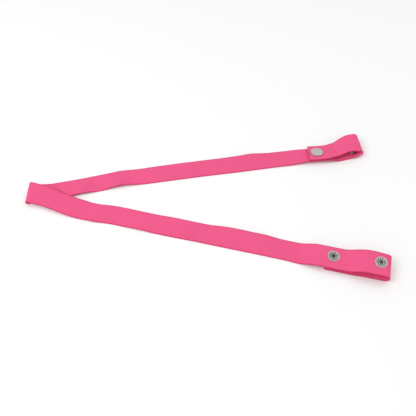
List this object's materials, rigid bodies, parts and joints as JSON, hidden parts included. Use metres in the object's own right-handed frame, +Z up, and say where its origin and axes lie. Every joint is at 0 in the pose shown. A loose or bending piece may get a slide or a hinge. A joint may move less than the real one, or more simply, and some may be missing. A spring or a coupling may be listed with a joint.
{
  "type": "webbing loop strap with press studs",
  "caption": "Flat webbing strap folded in half at its middle, with a press stud loop at each end that closes in either of two positions.",
  "frame": {"origin": "middle of the strap's footprint, on the plane it lies on", "axes": "+X from the middle fold towards the two loops, halfway between the arms; +Y towards arm A; +Z up from the plane it lies on"},
  "size_m": [0.383, 0.2004, 0.0155],
  "materials": {
    "webbing": "finely woven, soft, matt with a slight sheen",
    "snap_cap": "satin nickel plate",
    "snap_ring": "nickel plate with pressed relief",
    "snap_inner": "nickel-plated brass, slightly warm",
    "snap_steel": "plain drawn steel"
  },
  "bodies": {
    "arm_a": {"webbing_arm_a": "webbing", "webbing_middle_fold": "webbing", "webbing_loop_bend_a": "webbing", "post_1_a": "snap_ring", "stud_1_a": "snap_inner", "post_2_a": "snap_ring", "stud_2_a": "snap_inner"},
    "arm_b": {"webbing_arm_b": "webbing", "webbing_loop_bend_b": "webbing", "post_1_b": "snap_ring", "stud_1_b": "snap_inner", "post_2_b": "snap_ring", "stud_2_b": "snap_inner"},
    "flap_a": {"webbing_flap_a": "webbing", "socket_a": "snap_inner", "socket_spring_a": "snap_steel", "cap_a": "snap_cap", "cap_rivet_a": "snap_steel"},
    "flap_b": {"webbing_flap_b": "webbing", "socket_b": "snap_inner", "socket_spring_b": "snap_steel", "cap_b": "snap_cap", "cap_rivet_b": "snap_steel"}
  },
  "joints": [
    {"name": "middle_fold", "type": "hinge", "parent": "arm_a", "child": "arm_b", "pos_m": [-0.19111, 0.00614, 0.00511], "axis": [0, -1, 0], "range_deg": [0, 178], "deforming": ["webbing_middle_fold"]},
    {"name": "loop_a_open", "type": "hinge", "parent": "arm_a", "child": "flap_a", "pos_m": [0.18822, 0.08738, 0.00783], "axis": [-0.2329, 0.97, -0.0698], "range_deg": [0, 180], "deforming": ["webbing_loop_bend_a", "socket_spring_a"]},
    {"name": "loop_b_open", "type": "hinge", "parent": "arm_b", "child": "flap_b", "pos_m": [0.1864, -0.08783, 0.00772], "axis": [-0.2322, -0.967, -0.1045], "range_deg": [0, 180], "deforming": ["webbing_loop_bend_b", "socket_spring_b"]}
  ]
}
